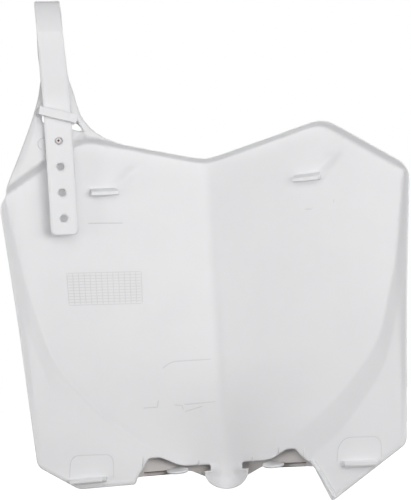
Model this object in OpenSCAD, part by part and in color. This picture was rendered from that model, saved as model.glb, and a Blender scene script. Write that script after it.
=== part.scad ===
// Front number board of an off-road motorbike, one moulded piece.
// +Z is up and +Y is forward, so the face for the number looks along +Y.
// The origin lies midway between the two lower seats, on their tops.

/* [Panel] */
// Half width at the upper side corners
side_corner_x = 126; // [115:1:140]
// Height of the upper side corners over the seats
side_corner_z = 176; // [160:1:190]
// Distance of each upper peak from the middle
peak_x = 76; // [60:1:90]
// Height of the upper peaks over the seats
peak_z = 211; // [205:1:225]
// Height of the dip in the middle of the top edge
dip_z = 192; // [180:1:200]
// Half width at the lower corners
foot_corner_x = 112.5; // [100:0.5:120]
// Height of the lower corners
foot_corner_z = 9; // [4:1:20]
// Slope of each half of the panel away from the middle fold
vee_angle = 20; // [12:1:28]
// Softness of the middle fold
fold_soft = 4; // [2:0.5:8]
// Thickness of the wall
wall = 2; // [1.6:0.1:3]

/* [Rim] */
// Depth of the turned-back rim behind the panel
rim_depth = 7; // [4:0.5:10]
// Width of the rim seen from behind
rim_w = 3.6; // [2.5:0.1:6]
// Width of the wing beside the panel at the lower corner
wing_w = 37; // [25:1:45]

/* [Lower middle] */
// How far the panel runs forward at the foot of the fold
keel = 9; // [4:0.5:14]
// Height at which the keel starts
keel_top = 70; // [50:1:100]
// Half width of the nose
nose_w = 14; // [10:0.5:17]
// Drop of the nose below the seats
nose_drop = 15; // [10:0.5:20]
// Height of the arches over the seats
arch_h = 8.4; // [6:0.1:12]
// Gap between the panel and the apron in front of it
apron_gap = 8; // [5:0.5:12]

/* [Seats] */
// Distance between the middles of the two seats
seat_pitch = 60; // [50:1:64]
// Diameter of each seat
seat_d = 13.6; // [10:0.1:16]
// Thickness of each seat
seat_t = 1.6; // [1.4:0.1:3]
// Tilt of the seats towards the rear
seat_tilt = 10; // [0:1:16]
// Free room between each seat and the hood in front of it
seat_room = 0.8; // [0.5:0.1:2]

/* [Strap] */
// Distance of the strap from the middle fold
strap_x = 87.2; // [80:0.1:95]
// Width of the strap at its free end
strap_w = 16.4; // [12:0.1:18]
// Width of the strap at its upper bend
strap_bend_w = 15; // [10:0.1:17]
// Thickness of the strap
strap_t = 1.8; // [1.2:0.1:2.4]
// Height of the upper bend over the seats
strap_top = 294; // [275:1:310]
// Height of the free end over the seats
strap_end = 149.3; // [145:0.1:155]
// Diameter of the strap holes
hole_d = 4.6; // [4.2:0.1:6]
// Distance between the strap holes
hole_pitch = 16; // [14:0.1:18]
// Diameter of the peg that holds the strap
peg_d = 3.4; // [2.8:0.1:4]
// Height of the peg over the seats
peg_z = 207.4; // [204:0.1:210]

/* [Hooks] */
// Distance of the middle of each hook from the fold
hook_x = 64.2; // [55:0.1:75]
// Height of the hooks
hook_z = 176; // [160:0.5:180]
// Length of each hook along its lip
hook_len = 17; // [12:0.5:20]
// Reach of each hook behind the panel
hook_reach = 6; // [5:0.5:9]
// Height of the lip of each hook
hook_lip = 2.8; // [2.2:0.1:4]

/* [Hidden] */

ARC = 5;
EPS = 0.01;
FAR = 200;
THROUGH = 90;

// Middle of each side, where the outline bends a little
side_mid = [foot_corner_x + 6, 96, 20];
// Point of the right wing and the place where it leaves the arch
wing_tip = [foot_corner_x - 47.5, -24.5, 2.5];
wing_root = [54.8, -1.8, 1];
// Level foot of the left wing, outer corner first
wing_foot_z = -7;
wing_foot = [
    [foot_corner_x - 23.5, wing_foot_z, 3],
    [55.6, wing_foot_z, 1.5],
    [54, wing_foot_z + 4, 1]
];
// Lower fold: beside the keel, round the head of the wing, then up the side
fold_keel = [40, 12, 12];
fold_wing = [foot_corner_x - wing_w, 41, 12];
fold_head = [foot_corner_x - wing_w + 25, 72, 14];
fold_side = [side_corner_x - 12, 120, 20];

vee = tan(vee_angle);
// The fold lies so far forward that the seats end just behind the apron
crease_y = (seat_d / 2 + seat_room) / cos(vee_angle) - apron_gap
    + vee * (norm([seat_pitch / 2, fold_soft]) - fold_soft);

// Strap seen from the side, measured from the rear face of the neck
strap_root_z = 247;
bend_r = 9;
strap_corner = 3.6;
strap_lean = 12;
bend_y = strap_t + 0.1 - bend_r;
bend_z = strap_top - bend_r;
leg_y = -5;
leg_mid = leg_y + strap_t / 2;
leg_z = bend_z - bend_r * sin(strap_lean) - (leg_y - bend_y + bend_r * cos(strap_lean)) / tan(strap_lean);
peg_hole_d = hole_d + 1;
peg_len = 7.5;
// Strap seen from behind, with its lower corners rounded
strap_outline = [
    [-strap_x - strap_bend_w / 2, strap_top + 5],
    [-strap_x + strap_bend_w / 2, strap_top + 5],
    [-strap_x + strap_w / 2, strap_root_z],
    for (a = [0 : -15 : -90])
        [-strap_x + strap_w / 2, strap_end] + strap_corner * [cos(a) - 1, sin(a) + 1],
    for (a = [-90 : -15 : -180])
        [-strap_x - strap_w / 2, strap_end] + strap_corner * [cos(a) + 1, sin(a) + 1],
    [-strap_x - strap_w / 2, strap_root_z]
];

// Bridge over the strap, tilted as the strap is threaded
bridge_z = strap_root_z - 23.6;
bridge_tilt = 15;
bridge_len = 24.5;
bridge_h = 5.4;
bridge_t = 2.5;
bridge_gap = 0.8;
bridge_y = leg_y - bridge_gap - bridge_t;
foot_t = 1.6;

// Ledges on the wings
ledge_x0 = 72;
ledge_x1 = 94;
ledge_z = -3.2;
ledge_h = 3;
ledge_reach = 5;

// Arches in the lower edge and the stiffening ribs over them
arch_mid = 42.5;
arch_flat = 6;
arch_foot = 51;
edge_z = 1.2;
// Room over each seat for the lug of the clamp
lug_room = 3.4;
throat_x = 10;
rib_t = 1;
rib_reach = 1.8;
// Each rib as its distance from the fold, its foot and its top
nose_rib = [17, edge_z, edge_z + 4.8];
arch_rib = [arch_mid - arch_flat / 2 - 5.5, arch_h - 3, arch_h + 3];
wing_rib = [arch_foot - 1, edge_z + 2, arch_h + 5.1];

// Hood in front of the arches, with the slanted floor that closes it below
apron_w = 52;
apron_top = 30;
apron_full = 10;
apron_edge = 5;
floor_z = -0.3;
floor_drop = 2.6;
floor_reach = 4.5;
apron_foot = floor_z - floor_drop;
apron_wall = wall * 1.1;
seat_in = seat_pitch / 2 - seat_d / 2;
apron_outline = [
    [-apron_w - apron_edge, apron_top + apron_edge],
    [-apron_w - apron_edge, apron_foot],
    [-seat_pitch / 2, apron_foot],
    [-seat_in, apron_foot + 1],
    [-throat_x - 2.5, -nose_drop / 2],
    [0, 2 - nose_drop],
    [throat_x + 2.5, -nose_drop / 2],
    [seat_in, apron_foot + 1],
    [seat_pitch / 2, apron_foot],
    [apron_w + apron_edge, apron_foot],
    [apron_w + apron_edge, apron_top + apron_edge]
];

// One point of the quadratic curve that rounds the corner b
function bend_at(a, b, c, reach, s) =
    let(p = b + (a - b) * (reach / norm(a - b)))
    let(q = b + (c - b) * (reach / norm(c - b)))
    p * (1 - s) * (1 - s) + b * 2 * s * (1 - s) + q * s * s;

// An open line whose inner corners [x, z, reach] are rounded
function soft_line(c) = [
    [c[0][0], c[0][1]],
    for (i = [1 : len(c) - 2])
        let(a = [c[i - 1][0], c[i - 1][1]])
        let(b = [c[i][0], c[i][1]])
        let(d = [c[i + 1][0], c[i + 1][1]])
        for (k = [0 : ARC]) bend_at(a, b, d, c[i][2], k / ARC),
    [c[len(c) - 1][0], c[len(c) - 1][1]]
];

// The same line on the other side, without a point on the middle plane
function mirrored(line) = [
    for (i = [len(line) - 1 : -1 : 0])
        if (abs(line[i][0]) > EPS) [-line[i][0], line[i][1]]
];

// Upper edge of the panel and the fold of its rim, from the middle outwards
top_corners = [
    [0, dip_z + 1.8, 0],
    [6, dip_z + 2.3, 5],
    [peak_x, peak_z, 9],
    [side_corner_x, side_corner_z, 8]
];
top_edge = soft_line(top_corners);
fold_peak = [peak_x - 2, peak_z - rim_w * 0.75];
fold_corner = [side_corner_x - rim_w * 0.9, side_corner_z - rim_w * 0.5];
top_fold = soft_line([
    [0, dip_z - 0.4, 0],
    [6, dip_z + 0.2, 5],
    [fold_peak[0], fold_peak[1], 8],
    [fold_corner[0], fold_corner[1], 0]
]);
// Lower fold, from the keel out to the upper side corner
low_fold = soft_line([
    [0, -22, 0],
    fold_keel,
    fold_wing,
    fold_head,
    fold_side,
    [fold_corner[0] - 1, fold_corner[1] - 9, 4],
    [fold_corner[0], fold_corner[1], 0]
]);
// Outer edge beside and below that fold, run on under the trimmed outline
low_edge = soft_line([
    [0, -75, 0],
    [64, -50, 10],
    [foot_corner_x, foot_corner_z, 6],
    [side_mid[0] - 0.5, side_mid[1], 20],
    [side_corner_x, side_corner_z - 4, 0]
]);

function clamp(v) = max(0, min(1, v));
function vee_y(x) = crease_y - vee * (sqrt(x * x + fold_soft * fold_soft) - fold_soft);
function fold_x(z) = 26 + 1.2 * max(z, 0);
function keel_y(x, z) =
    let(s = clamp((keel_top - z) / keel_top))
    keel * s * s * clamp(1 - abs(x) / fold_x(z));

// Share of the rim depth reached at a point, 0 on the panel and 1 at its edge
function rim_share(x, z) =
    let(ax = abs(x))
    let(past = clamp((ax - fold_corner[0]) / (side_corner_x - fold_corner[0])))
    let(up0 = lookup(ax, top_fold))
    let(up1 = lookup(ax, top_edge))
    let(lo0 = lookup(ax, low_fold))
    let(lo1 = lookup(ax, low_edge))
    let(up = (z - up0) / (up1 - up0))
    let(lo = (lo0 - z) / (lo0 - lo1))
    past + (1 - past) * max(0, min(1.4, max(up, lo)));

// Rear face of the wall at a point of the panel
function skin_y(x, z) = vee_y(x) + keel_y(x, z) - rim_depth * rim_share(x, z);

// Front face of the wall, which keeps the wall's thickness on every slope
function front_y(x, z) =
    let(gx = skin_y(x + 0.5, z) - skin_y(x - 0.5, z))
    let(gz = skin_y(x, z + 0.5) - skin_y(x, z - 0.5))
    skin_y(x, z) + wall * min(2.3, sqrt(1 + gx * gx + gz * gz));

half_columns = [
    0, 2, 4, 7, 12, 18, 25, 33, 41, 49, 56, 62, 67, 71, 74, 77, 81, 87, 93, 98,
    102, 106, 109, 111.5, 114, 116, 118, 119.5, 121, 122.4, 123.8, 125.2, 127
];
columns = [
    for (i = [len(half_columns) - 1 : -1 : 1]) -half_columns[i],
    each half_columns
];
panel_rows = 9;
wing_rows = 4;

// Heights of the mesh points of one column, from the top edge downwards
function column_z(x) =
    let(ax = abs(x))
    let(up0 = lookup(ax, top_fold))
    let(up1 = lookup(ax, top_edge) + 1.5)
    let(lo0 = min(lookup(ax, low_fold), up0 - 1.5))
    let(lo1 = lookup(ax, low_edge) - 2)
    [
        up1,
        for (i = [0 : panel_rows]) up0 + (lo0 - up0) * i / panel_rows,
        for (i = [1 : wing_rows]) lo0 + (lo1 - lo0) * i / wing_rows
    ];

// Solid between a rear and a front face, each a list of columns of mesh points
module between_faces(rear_columns, front_columns) {
    n = len(rear_columns);
    rows = len(rear_columns[0]);
    half = n * rows;
    rear = [for (c = rear_columns) each c];
    front = [for (c = front_columns) each c];
    edge_loop = [
        for (c = [0 : n - 1]) c * rows,
        for (r = [1 : rows - 1]) (n - 1) * rows + r,
        for (c = [n - 2 : -1 : 0]) c * rows + rows - 1,
        for (r = [rows - 2 : -1 : 1]) r
    ];
    cells = [for (c = [0 : n - 2]) for (r = [0 : rows - 2]) c * rows + r];
    m = len(edge_loop);
    faces = [
        for (i = cells) each [[i, i + rows, i + rows + 1], [i, i + rows + 1, i + 1]],
        for (i = cells) each [
            [half + i, half + i + rows + 1, half + i + rows],
            [half + i, half + i + 1, half + i + rows + 1]
        ],
        for (k = [0 : m - 1])
            let(a = edge_loop[k])
            let(b = edge_loop[(k + 1) % m])
            each [[a, half + a, half + b], [a, half + b, b]]
    ];
    polyhedron(points = concat(rear, front), faces = faces, convexity = 8);
}

// The wall of the panel, its rim and its wings, not yet trimmed
module sheet() {
    between_faces(
        [for (x = columns) [for (z = column_z(x)) [x, skin_y(x, z), z]]],
        [for (x = columns) [for (z = column_z(x)) [x, front_y(x, z), z]]]
    );
}

// Lower edge of one half, from the throat of the nose over the arch
function arch_side(s) = [
    [s * throat_x, edge_z],
    [s * (seat_in - 1), edge_z + 0.2],
    [s * seat_in, lug_room],
    [s * seat_pitch / 2, lug_room],
    [s * (arch_mid - arch_flat / 2 - 5), arch_h - 2.5],
    [s * (arch_mid - arch_flat / 2), arch_h],
    [s * (arch_mid + arch_flat / 2), arch_h]
];
// Half of the nose, which starts below the edge beside it
nose_top = edge_z - 3.8;
nose_side = [
    for (a = [0 : 15 : 90]) [nose_w * cos(a), nose_top - (nose_drop + nose_top) * sin(a)]
];

// Right side of the trimmed outline, whose wing ends in a point
right_side = soft_line([
    each top_corners,
    side_mid,
    [foot_corner_x, foot_corner_z, 4],
    wing_tip,
    wing_root,
    [arch_foot, edge_z + 0.3, 0]
]);
// Left side, whose wing ends in a level edge
left_side = soft_line([
    each top_corners,
    side_mid,
    [foot_corner_x, foot_corner_z, 4],
    each wing_foot,
    [arch_foot, edge_z + 0.3, 0]
]);
outline = [
    each mirrored(left_side),
    each right_side,
    each [for (i = [len(arch_side(1)) - 1 : -1 : 0]) arch_side(1)[i]],
    [throat_x, nose_top],
    each nose_side,
    each mirrored(nose_side),
    [-throat_x, nose_top],
    each arch_side(-1)
];

module along_y(depth = THROUGH) {
    rotate([90, 0, 0]) linear_extrude(height = 2 * depth, center = true) children();
}

// Puts its children on the rear face of one half of the panel, square to it
module on_half(x, z, back = 0) {
    translate([x, vee_y(x) - back, z]) rotate([0, 0, x > 0 ? -vee_angle : vee_angle]) children();
}

module panel() {
    intersection() {
        sheet();
        along_y() polygon(outline);
    }
}

// Inner corners of the neck, seen from the middle of the strap's root
neck_left = [-strap_x - 16, strap_root_z - 25.5, 12];
neck_right = [-strap_x + 14.4, strap_root_z - 34, 19];
neck_end = [-strap_x + 37.2, strap_root_z - 42.4];
// Neck level with the back of the rim, from the upper left edge to the strap
neck_outline = [
    each soft_line([
        [-side_corner_x + 0.7, side_corner_z - 7],
        neck_left,
        [-strap_x - strap_w / 2, strap_root_z]
    ]),
    each soft_line([
        [-strap_x + strap_w / 2, strap_root_z],
        neck_right,
        neck_end
    ]),
    [-peak_x + 1, peak_z - 1.6],
    [-side_corner_x + 10, side_corner_z - 2]
];

// Hole behind the bridge, which lets the mould form the bridge in one piece
module window() {
    half = bridge_len / 2;
    translate([-strap_x, bridge_z]) rotate(-bridge_tilt) polygon([
        [3 - half, -bridge_h / 2 - 1],
        [1.5 - half, bridge_h / 2],
        [half - 3.5, bridge_h / 2],
        [half - 1.6, -bridge_h / 2 + 0.3],
        [half + 0.7, -bridge_h / 2 + 0.1],
        [half + 3.7, -bridge_h / 2 - 3.5]
    ]);
}

module neck() {
    intersection() {
        on_half(-strap_x, strap_root_z, rim_depth)
            translate([-FAR / 2, 0, -FAR / 2]) cube([FAR, wall, FAR]);
        along_y() difference() {
            polygon(neck_outline);
            window();
        }
    }
}

// Band of the strap seen from the side, bent over at the top
module strap_profile() {
    difference() {
        translate([bend_y, bend_z]) circle(r = bend_r, $fn = 64);
        translate([bend_y, bend_z]) circle(r = bend_r - strap_t, $fn = 64);
        polygon([
            [bend_y, bend_z],
            [bend_y - FAR * cos(strap_lean), bend_z - FAR * sin(strap_lean)],
            [bend_y, bend_z - FAR],
            [bend_y + FAR, bend_z - FAR],
            [bend_y + FAR, bend_z]
        ]);
    }
    translate([bend_y + bend_r - strap_t, strap_root_z - 10])
        square([strap_t, bend_z - strap_root_z + 10 + EPS]);
    polygon([
        [bend_y - bend_r * cos(strap_lean), bend_z - bend_r * sin(strap_lean)],
        [leg_y, leg_z],
        [leg_y, strap_end],
        [leg_y + strap_t, strap_end],
        [leg_y + strap_t, leg_z + strap_t * tan(strap_lean / 2)],
        [bend_y - (bend_r - strap_t) * cos(strap_lean), bend_z - (bend_r - strap_t) * sin(strap_lean)]
    ]);
}

module strap() {
    difference() {
        intersection() {
            on_half(-strap_x, 0, rim_depth)
                rotate([90, 0, 90]) linear_extrude(height = 50, center = true) strap_profile();
            along_y() polygon(strap_outline);
        }
        for (k = [0 : 3])
            strap_hole(k) cylinder(d = k == 0 ? peg_hole_d : hole_d, h = 4 * strap_t, center = true, $fn = 48);
    }
}

// Places its children on the axis of one strap hole
module strap_hole(k) {
    on_half(-strap_x, peg_z - k * hole_pitch, rim_depth)
        translate([leg_mid * vee, leg_mid, 0]) rotate([90, 0, 0]) children();
}

// Peg on the neck with a small blind hole in its tip
module peg() {
    translate([-strap_x, vee_y(-strap_x) - rim_depth + wall / 2, peg_z]) rotate([90, 0, 0]) difference() {
        cylinder(d = peg_d, h = peg_len + wall / 2, $fn = 36);
        translate([0, 0, peg_len - wall / 2]) cylinder(d = peg_d * 0.4, h = 2 * wall, $fn = 24);
    }
}

// Belt loop that stands over the strap on two feet
module bridge() {
    on_half(-strap_x, bridge_z, rim_depth) translate([leg_y * vee, 0, 0]) rotate([0, bridge_tilt, 0]) {
        translate([-bridge_len / 2, bridge_y, -bridge_h / 2])
            cube([bridge_len, bridge_t, bridge_h]);
        for (s = [-1, 1])
            translate([s * (bridge_len - foot_t) / 2 - foot_t / 2, bridge_y, -bridge_h / 2])
                cube([foot_t, wall / 2 - bridge_y, bridge_h]);
    }
}

// Sloping shelf with a lip turned down, longer at the lip than at its root
module hook(side) {
    half = hook_len / cos(vee_angle) / 2;
    on_half(side * hook_x, hook_z) intersection() {
        rotate([90, 0, 90]) linear_extrude(height = 3 * half, center = true) polygon([
            [wall / 2, 2.4],
            [0, 2.2],
            [1 - hook_reach, 0.3],
            [-hook_reach, -0.3],
            [-hook_reach, -hook_lip],
            [wall - hook_reach, -hook_lip],
            [wall - hook_reach, 0.3 - wall],
            [wall / 2, 0.3 - wall]
        ]);
        linear_extrude(height = 6 * hook_lip, center = true) polygon([
            [-side * (half - 2), wall],
            [-side * half, -hook_reach - 1],
            [side * half, -hook_reach - 1],
            [side * (half - 1), wall]
        ]);
    }
}

// Short level ledge on the rear of each wing
module ledge(side) {
    translate([0, 0, ledge_z]) linear_extrude(height = ledge_h) polygon([
        for (x = [ledge_x0, ledge_x1]) [side * x, skin_y(x, ledge_z) + 1],
        [side * ledge_x1, skin_y(ledge_x1, ledge_z) - ledge_reach],
        [side * (ledge_x0 + 2), skin_y(ledge_x0 + 2, ledge_z) - ledge_reach],
        [side * ledge_x0, skin_y(ledge_x0, ledge_z) - ledge_reach + 2]
    ]);
}

// Thin upright rib on the rear of the wall, tapering away upwards
module rib(side, place) {
    x = side * place[0];
    z0 = place[1];
    z1 = place[2];
    translate([x, 0, 0]) rotate([90, 0, 90]) linear_extrude(height = rib_t, center = true) polygon([
        [skin_y(x, z0) + wall / 2, z0],
        [skin_y(x, z0) - rib_reach, z0],
        [skin_y(x, z1) + wall / 2, z1]
    ]);
}

// Rear face of the hood in front of the arches, which runs out into the panel
function apron_y(x, z) =
    skin_y(x, z) + 0.1
    + apron_gap * clamp((apron_w + 3 - abs(x)) / apron_edge)
    * clamp((apron_top - z) / (apron_top - apron_full));
apron_x = [for (i = [-13 : 13]) (apron_w + 3.5) * i / 13];
apron_z = [apron_top, 24, 18, apron_full, 6, 0, -6, -16];

// Hood over the arches, with its slanted floor and the two round seats
module apron() {
    intersection() {
        between_faces(
            [for (x = apron_x) [for (z = apron_z) [x, apron_y(x, z), z]]],
            [for (x = apron_x) [for (z = apron_z) [x, apron_y(x, z) + apron_wall, z]]]
        );
        along_y() polygon(apron_outline);
    }
    for (s = [-1, 1]) {
        seat_x = s * seat_pitch / 2;
        floor_y = apron_y(seat_x, floor_z);
        intersection() {
            translate([seat_x, floor_y, 0]) rotate([0, 0, -s * vee_angle])
                rotate([90, 0, 90]) linear_extrude(height = 2 * apron_w, center = true) polygon([
                    [wall / 2, floor_z],
                    [-floor_reach, floor_z],
                    [-floor_reach, floor_z - 0.4],
                    [0, apron_foot],
                    [wall / 2, apron_foot]
                ]);
            translate([seat_x + s * (apron_w - seat_pitch / 2) / 2, 0, 0])
                cube([apron_w - seat_pitch / 2, THROUGH, THROUGH], center = true);
        }
        rotate([seat_tilt, 0, 0]) {
            translate([seat_x, 0, -seat_t]) cylinder(d = seat_d, h = seat_t, $fn = 64);
            translate([seat_x - seat_d / 4, 0, -seat_t - 1])
                cube([seat_d / 2, floor_y / cos(seat_tilt) + wall / 2, 1.4]);
        }
    }
}

module number_plate() {
    color([0.93, 0.93, 0.94]) {
        panel();
        neck();
        strap();
        peg();
        bridge();
        for (s = [-1, 1]) {
            hook(s);
            ledge(s);
            rib(s, nose_rib);
            rib(s, wing_rib);
        }
        rib(1, arch_rib);
        apron();
    }
}

number_plate();
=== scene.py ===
# %% [markdown]
# # A racing number plate, seen from its inner side
#
# This script dresses one moulded part: the front number plate of an off-road
# motorbike. The frame that it loads holds the exact shape from the drawing. Every
# piece made below lies in that same frame, in metres, with +Z up and +Y forward.

# %% Load the frame
import math

import bmesh
import bpy
import numpy as np
from mathutils import Matrix, Vector
from mathutils.geometry import delaunay_2d_cdt


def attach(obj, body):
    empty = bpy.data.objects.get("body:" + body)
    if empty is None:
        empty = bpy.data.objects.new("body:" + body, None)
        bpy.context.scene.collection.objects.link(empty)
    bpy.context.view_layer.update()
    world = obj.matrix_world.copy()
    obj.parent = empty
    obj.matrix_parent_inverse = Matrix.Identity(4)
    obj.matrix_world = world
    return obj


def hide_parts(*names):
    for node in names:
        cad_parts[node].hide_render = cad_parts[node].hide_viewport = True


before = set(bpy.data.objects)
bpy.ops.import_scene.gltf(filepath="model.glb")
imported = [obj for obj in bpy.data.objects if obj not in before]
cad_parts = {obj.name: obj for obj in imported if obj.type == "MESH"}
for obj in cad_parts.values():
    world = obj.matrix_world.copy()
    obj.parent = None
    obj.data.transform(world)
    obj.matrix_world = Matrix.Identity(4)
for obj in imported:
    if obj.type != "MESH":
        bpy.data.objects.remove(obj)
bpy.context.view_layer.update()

# %% [markdown]
# ## Sizes
#
# The mould maker's sizes come first, in millimetres, because a plate is drawn and
# talked about in millimetres. One factor turns them into metres when a mesh is made.
# They are the sizes of the drawing, so that each piece lies on its solid, apart from a
# few that follow the pictured plate more closely, such as the hole over the peg.

# %% Sizes in millimetres
MM = 0.001

WALL = 2.0
VEE_ANGLE = math.radians(20)
VEE, SLANT = math.tan(VEE_ANGLE), math.cos(VEE_ANGLE)
FOLD_SOFT = 4.0
CREASE_Y = 9.648
RIM_DEPTH = 7.0
RIM_W = 3.6
WING_W = 37.0
KEEL, KEEL_TOP = 9.0, 70.0
STRAP_X, STRAP_W, STRAP_BEND_W, STRAP_T = 87.2, 16.4, 15.0, 1.8
STRAP_TOP, STRAP_END = 294.0, 149.3
BEND_R, STRAP_LEAN = 9.0, 12.0
LEG_MID, LEG_SHIFT = -4.1, 2.2
HOLE_D, PEG_HOLE_D, HOLE_PITCH = 4.6, 4.3, 16.0
PEG_D, PEG_Z = 3.4, 207.4
PEAK = (76.0, 211.0)
SIDE = (126.0, 176.0)
FOOT = (112.5, 9.0)
DIP_Z = 192.0
NOSE_W, NOSE_DROP = 14.0, 15.0
ROOT_Z = 247.0
BRIDGE_Z, BRIDGE_TILT, BRIDGE_LEN, BRIDGE_H, BRIDGE_T, FOOT_T = 223.4, 15.0, 24.5, 5.4, 2.5, 1.6

# %% [markdown]
# ## Outlines
#
# A moulded plate has no hard corner in its outline: the tool that cuts the mould is
# round. So each outline is a list of corners with a reach, and every corner is
# replaced by a short curve that starts and ends at that reach.


# %% Rounded outlines
def rounded(corners, closed=False, arc=6):
    """Points of a line whose corners (x, z, reach) are rounded."""
    count = len(corners)
    line = []
    for i, corner in enumerate(corners):
        here = Vector(corner[:2])
        reach = corner[2]
        if reach <= 0 or (not closed and i in (0, count - 1)):
            line.append(tuple(here))
            continue
        before = Vector(corners[i - 1][:2])
        after = Vector(corners[(i + 1) % count][:2])
        start = here + (before - here).normalized() * reach
        stop = here + (after - here).normalized() * reach
        for k in range(arc + 1):
            s = k / arc
            point = start * (1 - s) ** 2 + here * 2 * s * (1 - s) + stop * s * s
            line.append(tuple(point))
    return line


def flipped(line):
    """The same line on the other side of the middle plane."""
    return [(-x, z) for x, z in reversed(line)]


TOP_CORNERS = [(0, DIP_Z + 1.8, 0), (6, DIP_Z + 2.3, 5), (*PEAK, 9), (SIDE[0] - 0.08, SIDE[1], 8)]
TOP_EDGE = rounded(TOP_CORNERS[:-1] + [(*SIDE, 0)])
FOLD_PEAK = (PEAK[0] - 2, PEAK[1] - RIM_W * 0.75)
FOLD_CORNER = (SIDE[0] - RIM_W * 0.9, SIDE[1] - RIM_W * 0.5)
TOP_FOLD = rounded([
    (0, DIP_Z - 0.4, 0), (6, DIP_Z + 0.2, 5), (*FOLD_PEAK, 8), (*FOLD_CORNER, 0)])
LOW_FOLD = rounded([
    (0, -22, 0), (40, 12, 12), (FOOT[0] - WING_W, 41, 12),
    (FOOT[0] - WING_W + 25, 72, 14), (SIDE[0] - 12, 120, 20),
    (FOLD_CORNER[0] - 1, FOLD_CORNER[1] - 9, 4), (*FOLD_CORNER, 0)])
LOW_EDGE = rounded([
    (0, -75, 0), (64, -50, 10), (*FOOT, 6), (SIDE[0] - 8, 96, 20),
    (SIDE[0], SIDE[1] - 4, 0)])
print("top edge", len(TOP_EDGE), "points, lower fold", len(LOW_FOLD), "points")

# %% [markdown]
# ## The wall as a height map
#
# The plate is one thin skin: two flat halves meet in a soft fold, the rim turns back
# all round, and at the foot the fold swells forward into a keel. It could be modelled
# face by face, but every fold would need its own fillet. Instead the skin is a height
# for each point of the outline, laid on a fine raster. Blurring that raster rounds
# every fold at once, just as plastic rounds where the steel had an edge.

# %% Height of the skin
STEP = 0.5
GRID_X = np.arange(-132, 132 + STEP, STEP)
GRID_Z = np.arange(-32, 300 + STEP, STEP)


def halves_y(x):
    """Depth of the two flat halves, which meet in a soft fold."""
    return CREASE_Y - VEE * (np.sqrt(x * x + FOLD_SOFT ** 2) - FOLD_SOFT)


def skin_raster():
    """Height of the inner face over the raster, in millimetres along +Y."""
    x, z = np.meshgrid(GRID_X, GRID_Z)
    ax = np.abs(x)
    flat = halves_y(x)
    down = np.clip((KEEL_TOP - z) / KEEL_TOP, 0, 1)
    fold_x = 26 + 1.2 * np.maximum(z, 0)
    keel = KEEL * down * down * np.clip(1 - ax / fold_x, 0, 1)

    def height_of(line):
        keys, values = zip(*sorted(line))
        return np.interp(ax, keys, values)

    past = np.clip((ax - FOLD_CORNER[0]) / (SIDE[0] - FOLD_CORNER[0]), 0, 1)
    up0, up1 = height_of(TOP_FOLD), height_of(TOP_EDGE)
    lo0, lo1 = height_of(LOW_FOLD), height_of(LOW_EDGE)
    above = np.clip((z - up0) / (up1 - up0), 0, 1)
    # Under the neck the rim is a narrow step
    step = np.clip((-x - 80) / 6, 0, 1) * 0.45
    above = np.clip((above - step) / (1 - step), 0, 1)
    below = np.clip((lo0 - z) / (lo0 - lo1), 0, 1.4)
    # Beside the fold the wing drops fast, then it runs on almost level
    below = np.interp(below, (0, 0.26, 1, 1.4), (0, 0.52, 1, 1.4))
    share = past + (1 - past) * np.maximum(above, below)
    return flat + keel - RIM_DEPTH * share


def blurred(raster, radius):
    """The raster smoothed by a bell curve of that radius in millimetres."""
    reach = int(3 * radius / STEP) + 1
    taps = np.exp(-0.5 * (np.arange(-reach, reach + 1) * STEP / radius) ** 2)
    taps /= taps.sum()
    padded = np.pad(raster, reach, mode="edge")
    rows = np.apply_along_axis(lambda r: np.convolve(r, taps, mode="valid"), 1, padded)
    return np.apply_along_axis(lambda c: np.convolve(c, taps, mode="valid"), 0, rows)


SKIN = blurred(skin_raster(), 0.55)
SLOPE_Z, SLOPE_X = np.gradient(SKIN, STEP)
THICK = blurred(WALL * np.minimum(2.3, np.sqrt(1 + SLOPE_X ** 2 + SLOPE_Z ** 2)), 0.8)


def sample(raster, x, z):
    """Value of a raster between its points."""
    u = np.clip((np.asarray(x) - GRID_X[0]) / STEP, 0, len(GRID_X) - 1.001)
    v = np.clip((np.asarray(z) - GRID_Z[0]) / STEP, 0, len(GRID_Z) - 1.001)
    i, j = u.astype(int), v.astype(int)
    a, b = u - i, v - j
    low = raster[j, i] * (1 - a) + raster[j, i + 1] * a
    high = raster[j + 1, i] * (1 - a) + raster[j + 1, i + 1] * a
    return low * (1 - b) + high * b


print("skin from", round(float(SKIN.min()), 2), "to", round(float(SKIN.max()), 2), "mm")

# %% [markdown]
# ## From an outline to a thin moulding
#
# The same helper makes the wall with its strap, and the hood. It fills an outline, but
# not its holes, with well-shaped triangles, then places them twice: once as the inner
# face and once as the outer face. Rows of short quads between the two are the edge,
# and it bulges, because a moulded edge is never sharp. Points are set closer together
# only where the surface bends.


# %% Thin moulding from an outline
def area_of(loop):
    """Signed area of a closed loop, positive when it runs anticlockwise."""
    return 0.5 * sum(a[0] * b[1] - b[0] * a[1] for a, b in zip(loop, loop[1:] + loop[:1]))


def resampled(loop, gap):
    """The closed loop with points about one gap apart, corners kept."""
    out = []
    for a, b in zip(loop, loop[1:] + loop[:1]):
        steps = max(1, round(math.dist(a, b) / gap))
        out += [(a[0] + (b[0] - a[0]) * k / steps, a[1] + (b[1] - a[1]) * k / steps)
                for k in range(steps)]
    keep = [p for i, p in enumerate(out) if math.dist(p, out[i - 1]) > gap * 0.3]
    return keep


def outward(loop):
    """Outward directions of a loop, with its area on the left hand."""
    n = len(loop)
    result = []
    for i in range(n):
        a, b = Vector(loop[i - 1]), Vector(loop[(i + 1) % n])
        d = (b - a).normalized()
        result.append((d.y, -d.x))
    return result


def inside(loops, x, z):
    """Whether each point lies inside the loops, by counting crossings."""
    odd = np.zeros(len(x), dtype=bool)
    for loop in loops:
        for (x0, z0), (x1, z1) in zip(loop, loop[1:] + loop[:1]):
            if z0 == z1:
                continue
            crosses = (z0 > z) != (z1 > z)
            odd ^= crosses & (x < (x1 - x0) * (z - z0) / (z1 - z0) + x0)
    return odd


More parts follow.
